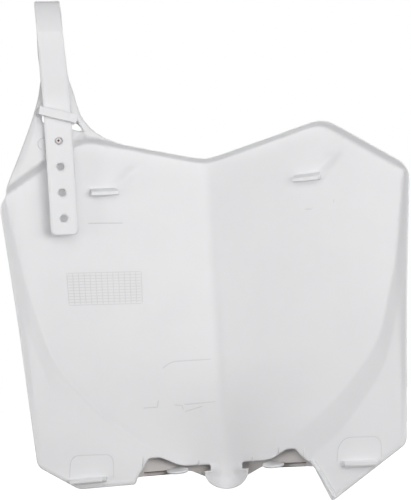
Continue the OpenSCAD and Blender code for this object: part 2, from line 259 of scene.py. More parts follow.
def filling(loops, fineness, coarse):
    """Points inside the loops, on a square raster that is halved where it bends."""
    xs = [p[0] for p in loops[0]]
    zs = [p[1] for p in loops[0]]
    x, z = np.meshgrid(np.arange(min(xs), max(xs) + coarse, coarse),
                       np.arange(min(zs), max(zs) + coarse, coarse))
    cells = [(x.ravel(), z.ravel(), coarse)]
    points = []
    while cells:
        cx, cz, size = cells.pop()
        split = (fineness(cx, cz) < size * 0.75) & (size > 0.9)
        points.append(np.column_stack([cx[~split], cz[~split]]))
        if split.any():
            q = size / 4
            sx, sz = cx[split], cz[split]
            cells.append((np.concatenate([sx - q, sx + q, sx - q, sx + q]),
                          np.concatenate([sz - q, sz - q, sz + q, sz + q]), size / 2))
    found = np.concatenate(points)
    return found[inside(loops, found[:, 0], found[:, 1])]


ROUND_EDGE = ((0.0, 0.0), (0.03, 0.3), (0.12, 0.62), (0.28, 0.88), (0.5, 1.0), (0.72, 0.88),
              (0.88, 0.62), (1.0, 0.0))


def thin_moulding(name, loops, place, fineness, coarse=3.0, gap=1.0, edge=0.55, rows=None):
    """A mesh object from closed loops (u, v), the first one being the outside.

    place(u, v, w) gives points in millimetres, with w from 0, the inner face, to 1.
    edge is the radius of the rounded edge, or a function of v that gives it.
    rows are points in lines beside the outline, which take the place of the raster there.
    """
    rims = []
    for i, loop in enumerate(loops):
        if (area_of(loop) > 0) != (i == 0):
            loop = loop[::-1]
        rims.append(resampled(loop, gap))
    inset = []
    for rim in rims:
        radii = [edge(p[1]) if callable(edge) else edge for p in rim]
        inset.append([(p[0] - d[0] * r, p[1] - d[1] * r)
                      for p, d, r in zip(rim, outward(rim), radii)])
    inner = filling(inset, fineness, coarse)
    if rows is not None:
        beside = (sample(EDGE, inner[:, 0], inner[:, 1]) < BAND) & (inner[:, 1] < ROW_TOP)
        inner = np.vstack([inner[~beside], rows])
    near = np.ones(len(inner), dtype=bool)
    for rim in inset:
        for p in rim:
            away = np.maximum(np.abs(inner[:, 0] - p[0]), np.abs(inner[:, 1] - p[1]))
            near &= away > gap * 0.45
    inner = inner[near]

    flat, edges = [], []
    for rim in inset:
        start = len(flat)
        flat += [Vector(p) for p in rim]
        edges += [(start + i, start + (i + 1) % len(rim)) for i in range(len(rim))]
    flat += [Vector(p) for p in inner]
    verts, _, faces, _, _, _ = delaunay_2d_cdt(flat, edges, [], 2, 1e-5)
    middle = [((verts[a] + verts[b] + verts[c]) / 3) for a, b, c in faces]
    kept = inside(inset, np.array([m.x for m in middle]), np.array([m.y for m in middle]))
    faces = [f for f, k in zip(faces, kept) if k]

    u = np.array([v.x for v in verts])
    v = np.array([v.y for v in verts])
    inner_face = place(u, v, np.zeros(len(u)))
    outer_face = place(u, v, np.ones(len(u)))
    mesh = bmesh.new()
    back = [mesh.verts.new(p * MM) for p in inner_face]
    front = [mesh.verts.new(p * MM) for p in outer_face]
    for a, b, c in faces:
        mesh.faces.new((back[a], back[b], back[c]))
        mesh.faces.new((front[c], front[b], front[a]))

    for rim, low in zip(rims, inset):
        n = len(rim)
        ring = []
        for w, out in ROUND_EDGE:
            pu = np.array([l[0] + (r[0] - l[0]) * out for r, l in zip(rim, low)])
            pv = np.array([l[1] + (r[1] - l[1]) * out for r, l in zip(rim, low)])
            ring.append([mesh.verts.new(p * MM) for p in place(pu, pv, np.full(n, w))])
        for lower, upper in zip(ring, ring[1:]):
            for i in range(n):
                j = (i + 1) % n
                mesh.faces.new((lower[i], lower[j], upper[j], upper[i]))
    bmesh.ops.remove_doubles(mesh, verts=mesh.verts, dist=2e-6)
    bmesh.ops.recalc_face_normals(mesh, faces=mesh.faces)
    return as_object(name, mesh)


def as_object(name, mesh, smooth=True):
    """Puts a bmesh in the scene as an object with smooth shading."""
    data = bpy.data.meshes.new(name)
    mesh.to_mesh(data)
    mesh.free()
    if smooth:
        data.polygons.foreach_set("use_smooth", [True] * len(data.polygons))
    piece = bpy.data.objects.new(name, data)
    bpy.context.scene.collection.objects.link(piece)
    print(name, len(data.vertices), "points", len(data.polygons), "faces")
    return piece


# %% [markdown]
# ## The strap, unrolled
#
# On the real plate the strap is moulded straight up from the neck. Its owner bends it
# over the bar, slides it under a bridge and pushes its top hole on a peg. The easy way
# would be a separate ribbon, but then a seam shows where it meets the neck. So the
# strap is drawn flat as part of the same outline, and every point above the start of
# the bend is rolled along this path: up, round and down to a soft crease, back at a
# lean, then level with the plate.

# %% Path of the strap
BEND_Y = STRAP_T + 0.1 - BEND_R
BEND_Z = STRAP_TOP - BEND_R
PATH_STEP = 0.25
LOOP_DROP, LOOP_TURN, CREASE, KINK = 27.5, 72, 2.5, 12.0
LEAN = math.radians(STRAP_LEAN + 2.6)


def strap_path():
    """Distance, depth, height and direction along the middle of the strap.

    It rises at the back as a quarter circle and comes down in front as a long quarter
    ellipse. There it has a soft crease, leans back and ends level with the plate.
    """
    r = BEND_R - STRAP_T / 2
    rows = []
    for k in range(60):
        t = math.pi / 2 * k / 60
        rows.append((r * t, BEND_Y + r * math.cos(t), BEND_Z + r * math.sin(t), math.pi / 2 + t))
    done, y, z = r * math.pi / 2, BEND_Y, BEND_Z + r
    for k in range(121):
        t = math.radians(LOOP_TURN) * k / 120
        next_y, next_z = BEND_Y - r * math.sin(t), BEND_Z + r - LOOP_DROP * (1 - math.cos(t))
        done += math.hypot(next_y - y, next_z - z)
        y, z = next_y, next_z
        angle = math.atan2(-LOOP_DROP * math.sin(t) - 1e-9, -r * math.cos(t)) + 2 * math.pi
        rows.append((done, y, z, angle))
    crease_from, level_from, facing_up = done, None, angle - 1.5 * math.pi
    while z > STRAP_END:
        done += PATH_STEP
        lean = facing_up + (LEAN - facing_up) * min(1.0, (done - crease_from) / CREASE)
        if level_from is None and y > LEG_MID - KINK * math.sin(LEAN) / 2:
            level_from = done
            print("the strap turns level at height", round(z, 1))
        if level_from is not None:
            lean = LEAN * max(0.0, 1 - (done - level_from) / KINK)
        angle = 1.5 * math.pi + lean
        y += PATH_STEP * math.cos(angle)
        z += PATH_STEP * math.sin(angle)
        rows.append((done, y, z, angle))
    return np.array(rows).T


PATH_S, PATH_Y, PATH_Z, PATH_ANGLE = strap_path()
TIP_S = float(PATH_S[-1])


def strap_v(z):
    """Place on the unrolled strap of a height on its near leg."""
    down = PATH_S > 40
    return BEND_Z + float(np.interp(-z, -PATH_Z[down], PATH_S[down]))


print("strap path", round(TIP_S, 1), "mm, its end at depth", round(float(PATH_Y[-1]), 2))

# %% [markdown]
# ## The wall, its rim, its neck and its strap
#
# The outline runs from the dip in the top edge over each peak and down the sides to
# the pointed wings, then over two arches to the round nose. On the left it leaves the
# top edge and climbs as a neck, which carries the strap. Behind the strap there is a
# hole in the neck, so that the mould can form the bridge.

# %% Outline of the wall
RIGHT_SIDE = rounded(TOP_CORNERS + [
    (FOOT[0] + 6, 96, 20), (*FOOT, 4), (65, -24.5, 2.5), (54.8, -1.8, 1), (51, 1.1, 0)])
LOWER_RIGHT = rounded([
    (51, 1.1, 0), (47.5, 4, 1), (44.4, 8.3, 1.5), (39.1, 8.4, 1.5), (34.5, 5.8, 1.5),
    (30, 3.2, 1.5),
    (24, 1.9, 1.5), (10, 1.3, 1), (10, -2.6, 0)])[1:]
NOSE = [(NOSE_W * math.cos(math.radians(a)),
         -2.6 - (NOSE_DROP - 2.6) * math.sin(math.radians(a))) for a in range(0, 181, 10)]
LOWER_LEFT = flipped(rounded([
    (51, 1.7, 0), (46.9, 8.2, 1.5), (40.1, 8.2, 1.5), (29.7, 2.9, 1.5), (25, 1.7, 1.5),
    (10, 0.9, 1), (10, -2.6, 0)])[1:])
LEG_TOP_V = strap_v(ROOT_Z)
TIP_V = BEND_Z + TIP_S
STRAP_L, STRAP_R = -STRAP_X - STRAP_W / 2, -STRAP_X + STRAP_W / 2
BEND_L, BEND_R_X = -STRAP_X - STRAP_BEND_W / 2, -STRAP_X + STRAP_BEND_W / 2
NECK_SIDE = rounded([
    (-51, 1.7, 0), (-54, -3, 1), (-55.6, -7, 1.5), (-89, -7, 3), (-FOOT[0], FOOT[1], 4),
    (-FOOT[0] - 6, 96, 20), (-SIDE[0] + 0.7, SIDE[1] - 7, 5), (-STRAP_X - 16, ROOT_Z - 25.5, 12),
    (STRAP_L, ROOT_Z, 3), (BEND_L, STRAP_TOP, 0), (BEND_L, BEND_Z + 26, 0), (STRAP_L, LEG_TOP_V, 5),
    (STRAP_L, TIP_V, 3.6), (STRAP_R, TIP_V, 3.6), (STRAP_R, LEG_TOP_V, 5),
    (BEND_R_X, BEND_Z + 26, 0), (BEND_R_X, STRAP_TOP, 0), (STRAP_R, ROOT_Z, 3),
    (-STRAP_X + 14.4, ROOT_Z - 34, 19), (-STRAP_X + 37.2, ROOT_Z - 42.4, 4), (-6, DIP_Z + 2.3, 5),
    (0, DIP_Z + 1.8, 0)])[1:-1]
WALL_OUTLINE = RIGHT_SIDE + LOWER_RIGHT + NOSE + LOWER_LEFT + NECK_SIDE


def tilted(points):
    """Points of the bridge's own frame, turned with the bridge and set on the strap."""
    c, n = math.cos(math.radians(BRIDGE_TILT)), math.sin(math.radians(BRIDGE_TILT))
    return [(-STRAP_X + a * c + b * n, BRIDGE_Z - a * n + b * c, r) for a, b, r in points]


half_b, half_h = BRIDGE_LEN / 2, BRIDGE_H / 2
WINDOW = rounded(tilted([
    (3.2 - half_b, -half_h - 3.2, 0.8), (1.6 - half_b, half_h, 0.8), (half_b - 3.5, half_h, 0.8),
    (half_b - 1.6, 0.3 - half_h, 0.5), (half_b + 0.7, 0.1 - half_h, 0.8),
    (half_b + 3.7, -half_h - 3.5, 0.8)]), closed=True)
print("outline", len(WALL_OUTLINE), "points")

# %% [markdown]
# ## The border
#
# A plate cut square at its border would look like card. The real one has a full round
# along the cut of the mould, and a low bead two millimetres inside it stiffens the thin
# wall. Both follow the outline, so both come from one thing: how far each point of the
# raster lies from the outline. The neck curls away at its free side and the nose dishes
# like a spoon, by the same distance.


# %% Distance from the outline
def edge_distance(loops, reach=7.0):
    """Distance of each raster point from the nearest outline, up to a reach."""
    field = np.full((len(GRID_Z), len(GRID_X)), reach)
    for loop in loops:
        for (ax, az), (bx, bz) in zip(loop, loop[1:] + loop[:1]):
            i = slice(*np.searchsorted(GRID_X, (min(ax, bx) - reach, max(ax, bx) + reach)))
            j = slice(*np.searchsorted(GRID_Z, (min(az, bz) - reach, max(az, bz) + reach)))
            x, z = np.meshgrid(GRID_X[i], GRID_Z[j])
            if x.size == 0:
                continue
            dx, dz = bx - ax, bz - az
            along = np.clip(((x - ax) * dx + (z - az) * dz) / (dx * dx + dz * dz + 1e-9), 0, 1)
            gap = np.hypot(x - ax - along * dx, z - az - along * dz)
            field[j, i] = np.minimum(field[j, i], gap)
    return field


EDGE = edge_distance([WALL_OUTLINE, WINDOW])
BAND, ROW_TOP = 4.6, 284.0

# %% Bead, curled neck and dished nose
BEAD_IN, BEAD_WIDE, BEAD_HIGH = 2.2, 0.6, 0.26
CURL_WIDE, CURL_DEEP = 4.2, 1.8
DISH_WIDE, DISH_DEEP = 9.0, 3.6
HEM_WIDE, HEM_HIGH = 3.2, 1.5
GROOVE_IN, GROOVE_WIDE, GROOVE_DEEP = 1.4, 1.4, 0.5
SINK_SPOTS = ((-48.5, 185.5), (75.5, 184.0))
SINK_RUN = (0.77, 0.64)
SINK_LONG, SINK_WIDE, SINK_DEEP = 9.5, 3.1, 1.6


def border_relief():
    """Forward shift of the skin that rolls, beads, curls and dishes its border."""
    x, z = np.meshgrid(GRID_X, GRID_Z)
    side = np.clip((SIDE[1] - z) / 6, 0, 1) * np.clip((np.abs(x) - 53) / 3, 0, 1)
    bead = -BEAD_HIGH * np.exp(-((EDGE - BEAD_IN) / BEAD_WIDE) ** 2) * side
    neck = np.clip((z - 186) / 10, 0, 1) * np.clip((-x - 96 + (z - 222) * 0.3) / 2, 0, 1)
    neck *= np.clip((ROOT_Z - 4 - z) / 8, 0, 1)
    curl = CURL_DEEP * np.clip(1 - EDGE / CURL_WIDE, 0, 1) * neck
    nose = np.clip((15 - np.abs(x)) / 2, 0, 1) * np.clip((1 - z) / 4, 0, 1)
    dish = -DISH_DEEP * np.clip(1 - EDGE / DISH_WIDE, 0, 1) ** 2 * nose
    # The inner edge of the pointed wing stands up like a hem
    point = np.clip((72 - x) / 3, 0, 1) * np.clip((-z - 1) / 4, 0, 1) * (x > 30)
    hem = -HEM_HIGH * np.clip(1 - EDGE / HEM_WIDE, 0, 1) * point
    # The left lower fold has a shallow groove just outside it
    keys, values = zip(*sorted(LOW_FOLD))
    fold_z = np.interp(np.abs(x), keys, values)
    beside = (fold_z - z) * 0.75
    run = np.clip((fold_z - 4) / 12, 0, 1) * np.clip((96 - fold_z) / 25, 0, 1) * (x < 0)
    groove = GROOVE_DEEP * np.exp(-((beside - GROOVE_IN) / GROOVE_WIDE) ** 2) * run
    return bead + curl + dish + hem + groove


def sink_marks():
    """Shallow dents in the inner face only, beside the thick roots of the hooks."""
    x, z = np.meshgrid(GRID_X, GRID_Z)
    sink = np.zeros_like(x)
    c, n = SINK_RUN
    for hx, hz in SINK_SPOTS:
        along = (x - hx) * c + (z - hz) * n
        across = (z - hz) * c - (x - hx) * n
        sink += SINK_DEEP * np.exp(-(along / SINK_LONG) ** 2 - (across / SINK_WIDE) ** 2)
    return sink


def softened(raster):
    """The raster with a rounder fold towards the foot, where the keel ends in a bowl."""
    x, z = np.meshgrid(GRID_X, GRID_Z)
    share = np.clip((30 - z) / 30, 0, 1) * np.clip((26 - np.abs(x)) / 12, 0, 1)
    share = share * share * (3 - 2 * share)
    return raster * (1 - share) + blurred(raster, 5.0) * share


BARE_SKIN = SKIN
SINK, RELIEF = sink_marks(), border_relief()
SKIN = softened(SKIN) + blurred(RELIEF, 0.3) + SINK
THICK = THICK - SINK
SLOPE_Z, SLOPE_X = np.gradient(SKIN, STEP)
print("bead and dish from", round(float(RELIEF.min()), 2), "mm")


def rows_beside(loops, distances, gap=1.0):
    """Points in rows beside the outlines, at those distances from them."""
    found = []
    for loop in loops:
        rim = resampled(loop, gap)
        turn = 1 if area_of(loop) > 0 else -1
        for distance in distances:
            for (x, z), (nx, nz) in zip(rim, outward(rim)):
                spot = (x - turn * nx * distance, z - turn * nz * distance)
                if spot[1] < ROW_TOP and abs(float(sample(EDGE, *spot)) - distance) < 0.2:
                    found.append(spot)
    return np.array(found)


# %% [markdown]
# ## The wall as a mesh
#
# Now the outline, the height map and the path of the strap come together. Where the
# height runs out into the neck the wall takes the thickness of the strap.


# %% Wall
def ring(x, z, diameter, count=32):
    """A closed circle."""
    r = diameter / 2
    return [(x + r * math.cos(2 * math.pi * k / count), z + r * math.sin(2 * math.pi * k / count))
            for k in range(count)]


STRAP_HOLES = [ring(-STRAP_X, strap_v(PEG_Z - HOLE_PITCH * k), HOLE_D if k else PEG_HOLE_D)
               for k in range(4)]


def flat_y(x):
    """Depth of the neck's plane, level with the back of the rim."""
    return halves_y(x) - RIM_DEPTH


def on_plate(u, v, w):
    """A point of the plate, from its inner face (w = 0) to its outer face (w = 1).

    Above the start of the bend, v runs on along the unrolled strap.
    """
    rolled = np.maximum(v - BEND_Z, 0)
    climb = np.clip((v - ROOT_Z + 7) / 8, 0, 1)
    thick = sample(THICK, u, v) * (1 - climb) + STRAP_T / SLANT * climb
    y = sample(SKIN, u, v) + 0.1 * climb + w * thick
    flat = flat_y(u)
    angle = np.interp(rolled, PATH_S, PATH_ANGLE)
    off = (w - 0.5) * STRAP_T
    lean = np.clip((v - 236) / 26, 0, 1) * np.clip((BEND_Z + 34 - v) / 30, 0, 1)
    u = u - LEG_SHIFT * lean
    path_y = np.interp(rolled, PATH_S, PATH_Y) + off * np.sin(angle)
    path_z = np.interp(rolled, PATH_S, PATH_Z) - off * np.cos(angle)
    on_strap = v > BEND_Z
    y = np.where(on_strap, flat + path_y / SLANT, y)
    z = np.where(on_strap, path_z, v)
    return np.column_stack([u, y, z])


BENDING = np.hypot(*np.gradient(np.hypot(SLOPE_X, SLOPE_Z), STEP))


def plate_fineness(x, z):
    """Wanted gap between points: fine where the skin or the strap bends."""
    skin = 3.0 / (1 + 40 * sample(BENDING, x, z))
    round_top = (z > BEND_Z - 2) & (z < BEND_Z + 44)
    return np.where(round_top, 1.0, np.where(z > ROOT_Z, 2.0, skin))


rows = rows_beside([WALL_OUTLINE, WINDOW], (1.35, 1.75, 2.2, 2.65, 3.1, 3.8))
wall = thin_moulding("plate_wall", [WALL_OUTLINE, WINDOW, *STRAP_HOLES], on_plate,
                     plate_fineness, edge=lambda v: 0.9 if v < ROOT_Z else 0.4, rows=rows)

# %% [markdown]
# ## The hood and its seats
#
# Behind the two arches the plate has a second, forward skin: a hood that swells out of
# the face, closed below by a narrow floor. Two round pads stand on that floor, and they
# rest on the lugs of the fork clamp. The hood is made by the same helper as the wall,
# but it gets thinner where it runs out into the face, so that its border sinks in.

# %% Hood
APRON_W, APRON_TOP, APRON_FULL, APRON_GAP = 52.0, 30.0, 10.0, 8.0
SEAT_PITCH, SEAT_D, SEAT_T, SEAT_TILT = 60.0, 13.6, 1.6, 10.0
FLOOR_Z, FLOOR_DROP, FLOOR_REACH = -0.3, 2.6, 4.5
HOOD_FOOT = FLOOR_Z - FLOOR_DROP


def hood_share(x, z):
    """How far the hood stands forward, from 0 at its border to 1 at its foot."""
    side = np.clip((APRON_W + 3 - np.abs(x)) / 5, 0, 1)
    down = np.clip((APRON_TOP - z) / (APRON_TOP - APRON_FULL), 0, 1)
    return side * down


HOOD = blurred(hood_share(*np.meshgrid(GRID_X, GRID_Z)), 1.0)


def on_hood(u, v, w):
    """A point of the hood, from its inner to its outer face."""
    share = sample(HOOD, u, v)
    thick = 1.7 + 0.5 * np.clip(share * 5, 0, 1)
    y = sample(BARE_SKIN, u, v) + 0.1 + APRON_GAP * share + w * thick
    return np.column_stack([u, y, v])


HOOD_OUTLINE = rounded([
    (55, APRON_TOP, 3), (-55, APRON_TOP, 3), (-55, HOOD_FOOT, 1), (-30, HOOD_FOOT, 3),
    (-23.2, HOOD_FOOT + 1, 2), (-12.5, -7.5, 2), (0, -13, 2), (12.5, -7.5, 2),
    (23.2, HOOD_FOOT + 1, 2), (30, HOOD_FOOT, 3), (55, HOOD_FOOT, 1)], closed=True)
hood = thin_moulding("hood", [HOOD_OUTLINE], on_hood, lambda x, z: np.full(len(x), 1.4))

# %% [markdown]
# ## Small solid details
#
# Bridge, hooks, ledges, floor and seats are short blocks with a constant section. Each
# is drawn as an outline, pulled to its length and given narrow bevels, because bevels
# are what catches the light on small moulded details.


# %% Blocks with a constant section
def block(name, outline, depth, matrix, bevel=0.3, ends=None):
    """A mesh from an outline (a, b) pulled along c, then set in place by a matrix.

    ends(a) gives where it starts and stops along c, when its length isn't constant.
    """
    mesh = bmesh.new()
    reach = ends or (lambda a: (-depth / 2, depth / 2))
    low = [mesh.verts.new((a, b, reach(a)[0])) for a, b in outline]
    high = [mesh.verts.new((a, b, reach(a)[1])) for a, b in outline]
    n = len(outline)
    mesh.faces.new(low[::-1])
    mesh.faces.new(high)
    for i in range(n):
        j = (i + 1) % n
        mesh.faces.new((low[i], low[j], high[j], high[i]))
    bmesh.ops.recalc_face_normals(mesh, faces=mesh.faces)
    sharp = [e for e in mesh.edges if e.calc_face_angle(0) > math.radians(25)]
    bmesh.ops.bevel(mesh, geom=sharp, offset=bevel, segments=3, affect="EDGES", clamp_overlap=True)
    for face in mesh.faces:
        face.smooth = face.calc_area() < 5
    mesh.transform(Matrix.Scale(MM, 4) @ matrix)
    return as_object(name, mesh, smooth=False)


def on_half(x, z, back):
    """Frame on one half of the plate: first axis along it, second axis forward."""
    angle = VEE_ANGLE if x < 0 else -VEE_ANGLE
    return Matrix.Translation((x, float(halves_y(x)) - back, z)) @ Matrix.Rotation(angle, 4, "Z")


def along_x(x=0.0):
    """Frame that lays the length of a block along X, with its middle at that place."""
    return Matrix(((0, 0, 1, x), (1, 0, 0, 0), (0, 1, 0, 0), (0, 0, 0, 1)))


small_parts = []
LEG_Y = LEG_MID - STRAP_T / 2
BRIDGE_Y = LEG_Y - 0.8 - BRIDGE_T
staple = [(-half_b, 0.9), (-half_b, BRIDGE_Y), (half_b, BRIDGE_Y), (half_b, 0.9),
          (half_b - FOOT_T, 0.9), (half_b - FOOT_T, BRIDGE_Y + BRIDGE_T),
          (-half_b + FOOT_T, BRIDGE_Y + BRIDGE_T), (-half_b + FOOT_T, 0.9)]
BRIDGE_PLACE = (on_half(-STRAP_X, BRIDGE_Z, RIM_DEPTH) @ Matrix.Translation((LEG_Y * VEE, 0, 0))
                @ Matrix.Rotation(math.radians(BRIDGE_TILT), 4, "Y"))
small_parts.append(block("bridge", staple, BRIDGE_H, BRIDGE_PLACE, bevel=0.28))

# %% Web beside the bridge
web_a, web_b = Vector((-77.6, 224.0)), Vector((-72.4, 212.9))
web_run = web_b - web_a
web_y = float(flat_y(0.5 * (web_a.x + web_b.x)))
web_side = [(-0.4, 0.6), (-0.4, -4.2), (0.3, -4.2), (0.3, 0.6)]
web_mid = 0.5 * (web_a + web_b)
web_place = Matrix((
    (web_run.y / web_run.length, 0, web_run.x / web_run.length, web_mid.x), (0, 1, 0, web_y),
    (-web_run.x / web_run.length, 0, web_run.y / web_run.length, web_mid.y), (0, 0, 0, 1)))
small_parts.append(block("bridge_web", web_side, web_run.length, web_place, 0.15))

# %% Hooks
HOOK_X, HOOK_Z, HOOK_LEN, HOOK_REACH, HOOK_LIP = 64.2, 176.0, 17.0, 6.0, 2.8
along = HOOK_LEN / SLANT / 2
lip = [(1.0, 2.4), (0.0, 2.2), (1 - HOOK_REACH, 0.3), (-HOOK_REACH, -0.3),
       (-HOOK_REACH, -HOOK_LIP), (WALL - HOOK_REACH, -HOOK_LIP), (WALL - HOOK_REACH, -1.7),
       (1.0, -1.7)]


def hook_ends(side):
    """Start and end of the hook at each depth: it is longest at its lip."""
    def ends(a):
        share = (a - WALL) / (HOOK_REACH + 1 + WALL)
        near, far = along - 2 - 2 * share, along - 1 - share
        return (-near, far) if side > 0 else (-far, near)
    return ends


for side, word in ((-1, "left"), (1, "right")):
    small_parts.append(block("hook_" + word, lip, 0, on_half(side * HOOK_X, HOOK_Z, 0) @ along_x(),
                             0.28, hook_ends(side)))

# %% Ledges on the wings
for side, word in ((-1, "left"), (1, "right")):
    y72, y74, y94 = (float(sample(SKIN, side * x, -3.2)) for x in (72, 74, 94))
    shelf = [(side * 72, y72 + 1), (side * 94, y94 + 1), (side * 94, y94 - 5),
             (side * 74, y74 - 5), (side * 72, y72 - 3)]
    small_parts.append(block("ledge_" + word, shelf, 3.0, Matrix.Translation((0, 0, -1.7)), 0.45))

# %% Slanted floors and round seats
tilt = Matrix.Rotation(math.radians(SEAT_TILT), 4, "X")
wedge = [(1.0, FLOOR_Z), (-FLOOR_REACH, FLOOR_Z), (-FLOOR_REACH, FLOOR_Z - 0.45),
         (0, FLOOR_Z - 0.45), (0, HOOD_FOOT + 0.25), (-FLOOR_REACH + 0.8, HOOD_FOOT + 0.2),
         (-FLOOR_REACH + 0.8, HOOD_FOOT), (1.0, HOOD_FOOT)]
floor_run = (APRON_W - SEAT_PITCH / 2) / SLANT
for side, word in ((-1, "left"), (1, "right")):
    hood_spot = np.array([side * SEAT_PITCH / 2]), np.array([FLOOR_Z]), np.zeros(1)
    hood_y = float(on_hood(*hood_spot)[0, 1])
    stand = Matrix.Translation((side * SEAT_PITCH / 2, hood_y, 0))
    turn = Matrix.Rotation(-VEE_ANGLE * side, 4, "Z")
    lying = stand @ turn @ along_x(side * floor_run / 2)
    small_parts.append(block("floor_" + word, wedge, floor_run, lying, 0.06))
    disc = ring(side * SEAT_PITCH / 2, 0, SEAT_D, 48)
    small_parts.append(block(
        "seat_" + word, disc, SEAT_T, tilt @ Matrix.Translation((0, 0, -SEAT_T / 2)), 0.4))
    x0, x1 = side * SEAT_PITCH / 2 - SEAT_D / 4, side * SEAT_PITCH / 2 + SEAT_D / 4
    stem = [(x0, 0), (x1, 0), (x1, hood_y + 0.8), (x0, hood_y + 0.8)]
    small_parts.append(block(
        "stem_" + word, stem, 1.4, tilt @ Matrix.Translation((0, 0, -SEAT_T - 0.3)), 0.3))

# %% [markdown]
# ## The peg
#
# The peg is a small turned form: a cone with a rounded tip and a blind hole that is
# left by the pin of the mould. A profile spun round its axis gives all of it.


# %% Peg
def spun(name, profile, matrix, count=40):
    """A solid of revolution from (radius, height) pairs, closed at both ends."""
    mesh = bmesh.new()
    rings = []
    for r, h in profile:
        if r == 0:
            rings.append([mesh.verts.new((0, 0, h))] * count)
        else:
            rings.append([mesh.verts.new((r * math.cos(2 * math.pi * k / count),
                                          r * math.sin(2 * math.pi * k / count), h))
                          for k in range(count)])
    for low, high in zip(rings, rings[1:]):
        for k in range(count):
            j = (k + 1) % count
            corners = [low[k], low[j], high[j], high[k]]
            face = [v for i, v in enumerate(corners) if v not in corners[:i]]
            if len(face) > 2:
                mesh.faces.new(face)
    bmesh.ops.recalc_face_normals(mesh, faces=mesh.faces)
    mesh.transform(Matrix.Scale(MM, 4) @ matrix)
    return as_object(name, mesh)


PEG_LEN = 7.5
peg_r, pin_r = PEG_D / 2, PEG_D * 0.2
peg_root = (Matrix.Translation((-STRAP_X, float(flat_y(-STRAP_X)), PEG_Z))
            @ Matrix.Rotation(math.radians(90), 4, "X"))
small_parts.append(spun("peg", [
    (0, -0.8), (peg_r + 0.3, -0.8), (peg_r + 0.3, 0.2), (peg_r, 0.9), (peg_r, PEG_LEN - 0.5),
    (peg_r - 0.15, PEG_LEN - 0.15), (peg_r - 0.5, PEG_LEN), (pin_r + 0.1, PEG_LEN),
    (pin_r, PEG_LEN - 0.15), (pin_r * 0.8, PEG_LEN - 1.2), (0, PEG_LEN - 1.3)], peg_root))
# A dark reddish-brown disc at the bottom of the pin hole
small_parts.append(spun("peg_hole_spot", [
    (0, PEG_LEN - 1.2), (pin_r, PEG_LEN - 1.2), (pin_r, PEG_LEN - 0.5),
    (pin_r * 0.5, PEG_LEN - 0.35), (0, PEG_LEN - 0.35)], peg_root, 20))

# %% [markdown]
# ## Ribs and marks of the mould
#
# Thin upright ribs stiffen the lower edge. The rest of the relief is very low: the
# joint lines of the mould's inserts, two ring marks of its ejector pins and a small
# table of squares. All of these are real raised lines on the skin, one or two tenths of
# a millimetre high, so they are made as ridges. Apart from the ring on the bridge they
# take a darker plastic: painted shade along the fine lines.


# %% Ribs
def rib(name, x, z0, z1):
    """A thin triangular rib that tapers away upwards."""
    y0, y1 = float(sample(SKIN, x, z0)), float(sample(SKIN, x, z1))
    side_view = [(y0 + 1, z0), (y0 - 1.8, z0), (y1 + 1, z1)]
    return block(name, side_view, 1.0, along_x(x), 0.25)


for number, (x, z0, z1) in enumerate(
        ((17, 1.4, 6), (50, 3.2, 13.5), (34, 5.9, 11.4), (-17, 1.2, 6), (-50, 3.4, 13.5))):
    small_parts.append(rib("rib_%d" % number, x, z0, z1))


# %% Raised lines of the mould
def ridge(mesh, line, width=0.75, height=0.16, foot=0.05):
    """A low raised line on the inner face of the skin, its foot sunk a little into it."""
    spots = []
    for (ax, az), (bx, bz) in zip(line, line[1:]):
        steps = max(1, round(math.hypot(bx - ax, bz - az) / 1.2))
        spots += [(ax + (bx - ax) * k / steps, az + (bz - az) * k / steps) for k in range(steps)]
    spots.append(line[-1])
    previous = None
    for i, (x, z) in enumerate(spots):
        before, after = Vector(spots[max(i - 1, 0)]), Vector(spots[min(i + 1, len(spots) - 1)])
        run = (after - before).normalized()
        taper = 0.35 if i in (0, len(spots) - 1) else 1.0
        cross = []
        for across, rise in ((-0.5, -foot), (-0.2, height), (0.2, height), (0.5, -foot)):
            px, pz = x - run.y * across * width * taper, z + run.x * across * width * taper
            py = float(sample(SKIN, px, pz)) - (rise * taper if rise > 0 else rise)
            cross.append(mesh.verts.new((px * MM, py * MM, pz * MM)))
        if previous:
            for j in range(3):
                mesh.faces.new((previous[j], previous[j + 1], cross[j + 1], cross[j]))
        previous = cross


marks = bmesh.new()
for line in (
        [(-35.2, 63.4), (-31.1, 66.3), (-27.5, 67.4), (-4.7, 67.3)],
        [(-48.5, 39.7), (-39.6, 39.7), (-39.0, 44.0)],
        [(-29.7, 40.4), (-24.7, 39.4), (-24.1, 36.6)],
        [(-23.6, 40.0), (-3.8, 40.5)],
        [(-23.4, 35.6), (-12.2, 38.2)],
        [(-74.7, 156.6), (-53.1, 155.8)],
        [(60.4, 156.3), (65.4, 155.9)],
        [(78.8, 160.8), (78.7, 158.3)],
        [(56.0, 1.2), (59.6, -4.6), (68.0, -20.8)]):
    ridge(marks, line)
for line in (
        rounded([(-94.1, 0.4, 0), (-92.9, 11.3, 3), (-89.8, 13.8, 2), (-69.6, 12.8, 3),
                 (-67.9, 9.5, 2), (-68.1, -1.8, 0)]),
        rounded([(69.6, -0.6, 0), (70.9, 8.5, 3), (75.5, 14.2, 4), (95.5, 13.9, 3),
                 (97.2, 10, 2), (96.7, 0.7, 0)])):
    ridge(marks, line, 0.6, 0.1)
small_parts.append(as_object("mould_lines", marks))

# %% Table of squares and the ring marks of the ejector pins
table = bmesh.new()
ROWS, COLUMNS = 11, 13
corner = [Vector(c) for c in ((-89.0, 126.2), (-44.2, 124.9), (-44.7, 104.9), (-88.7, 106.3))]


def table_spot(a, b):
    """A point of the table: a from left to right, b from top to bottom, both 0 to 1."""
    top = corner[0].lerp(corner[1], a)
    low = corner[3].lerp(corner[2], a)
    return tuple(top.lerp(low, b))


